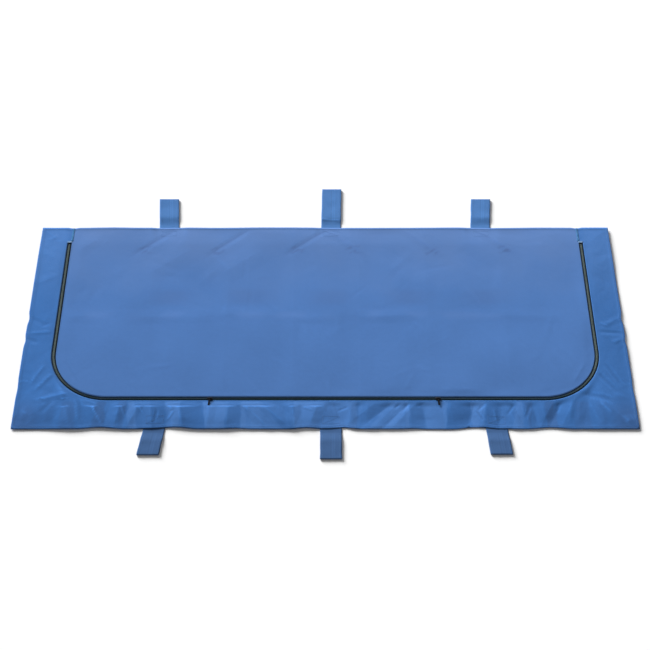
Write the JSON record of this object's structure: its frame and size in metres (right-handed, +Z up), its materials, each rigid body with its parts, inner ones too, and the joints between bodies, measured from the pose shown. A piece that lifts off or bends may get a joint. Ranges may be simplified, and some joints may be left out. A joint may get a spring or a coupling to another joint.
{
  "type": "zippered transport pouch",
  "caption": "Flat rectangular coated-sheet pouch with a U-shaped zip around a lid that folds back, facing sliders, and flat strap loops along its long edges.",
  "frame": {"origin": "centre of the pouch's underside, on the floor it lies on", "axes": "+X along the pouch's length, +Y to the back edge where the lid folds, +Z up"},
  "size_m": [2.134, 1.234, 0.0177],
  "materials": {
    "blue_sheet": "satin",
    "lid_sheet": "satin",
    "strap_sheet": "satin",
    "black_tape": "matte",
    "grey_coil": "satin",
    "black_metal": "satin",
    "pale_patch": "matte",
    "seam_band": "satin"
  },
  "bodies": {
    "pouch": {"bottom_panel": "blue_sheet", "top_border": "blue_sheet", "lid_back_strip": "lid_sheet", "seam_welt_left": "seam_band", "zip_stop_left": "black_metal", "zip_end_patch_left": "pale_patch", "seam_welt_right": "seam_band", "zip_stop_right": "black_metal", "zip_end_patch_right": "pale_patch", "zip_tape_border": "black_tape", "zip_coil_border_left": "grey_coil", "zip_coil_border_front": "grey_coil", "zip_coil_border_right": "grey_coil", "handle_tail_back_left": "strap_sheet", "handle_tail_back_middle": "strap_sheet", "handle_tail_back_right": "strap_sheet", "handle_tail_front_left": "strap_sheet", "handle_tail_front_middle": "strap_sheet", "handle_tail_front_right": "strap_sheet"},
    "lid": {"lid_panel": "lid_sheet", "zip_tape_lid_left": "black_tape", "zip_tape_lid_front": "black_tape", "zip_tape_lid_right": "black_tape", "zip_coil_lid_left": "grey_coil", "zip_coil_lid_front": "grey_coil", "zip_coil_lid_right": "grey_coil"},
    "left_slider": {"slider_left": "black_metal"},
    "left_pull": {"slider_pull_left": "black_metal"},
    "right_slider": {"slider_right": "black_metal"},
    "right_pull": {"slider_pull_right": "black_metal"},
    "back_left_strap": {"handle_back_left": "strap_sheet"},
    "back_middle_strap": {"handle_back_middle": "strap_sheet"},
    "back_right_strap": {"handle_back_right": "strap_sheet"},
    "front_left_strap": {"handle_front_left": "strap_sheet"},
    "front_middle_strap": {"handle_front_middle": "strap_sheet"},
    "front_right_strap": {"handle_front_right": "strap_sheet"}
  },
  "joints": [
    {"name": "lid_fold", "type": "hinge", "parent": "pouch", "child": "lid", "pos_m": [0, 0.3695, 0.0124], "axis": [-1, 0, 0], "range_deg": [0, 175], "deforming": ["zip_coil_lid_front", "zip_tape_lid_front"]},
    {"name": "left_slider_travel", "type": "slide", "parent": "pouch", "child": "left_slider", "axis": [1, 0, 0], "range_m": [-0.344, 0.38], "deforming": ["zip_coil_border_front", "zip_coil_lid_front"]},
    {"name": "right_slider_travel", "type": "slide", "parent": "pouch", "child": "right_slider", "axis": [1, 0, 0], "range_m": [-0.371, 0.353], "deforming": ["zip_coil_border_front", "zip_coil_lid_front"]},
    {"name": "left_pull_swing", "type": "hinge", "parent": "left_slider", "child": "left_pull", "pos_m": [-0.397, -0.339, 0.01569], "axis": [-1, 0, 0], "range_deg": [0, 185]},
    {"name": "right_pull_swing", "type": "hinge", "parent": "right_slider", "child": "right_pull", "pos_m": [0.388, -0.339, 0.01569], "axis": [-1, 0, 0], "range_deg": [0, 185]},
    {"name": "back_left_strap_lift", "type": "hinge", "parent": "pouch", "child": "back_left_strap", "pos_m": [-0.589, 0.461, 0.002], "axis": [-1, 0, 0], "range_deg": [-130, 0]},
    {"name": "back_middle_strap_lift", "type": "hinge", "parent": "pouch", "child": "back_middle_strap", "pos_m": [0.022, 0.461, 0.002], "axis": [-1, 0, 0], "range_deg": [-130, 0]},
    {"name": "back_right_strap_lift", "type": "hinge", "parent": "pouch", "child": "back_right_strap", "pos_m": [0.586, 0.461, 0.002], "axis": [-1, 0, 0], "range_deg": [-130, 0]},
    {"name": "front_left_strap_lift", "type": "hinge", "parent": "pouch", "child": "front_left_strap", "pos_m": [-0.5805, -0.461, 0.002], "axis": [-1, 0, 0], "range_deg": [0, 130]},
    {"name": "front_middle_strap_lift", "type": "hinge", "parent": "pouch", "child": "front_middle_strap", "pos_m": [0.0195, -0.461, 0.002], "axis": [-1, 0, 0], "range_deg": [0, 130]},
    {"name": "front_right_strap_lift", "type": "hinge", "parent": "pouch", "child": "front_right_strap", "pos_m": [0.5825, -0.461, 0.002], "axis": [-1, 0, 0], "range_deg": [0, 130]}
  ]
}
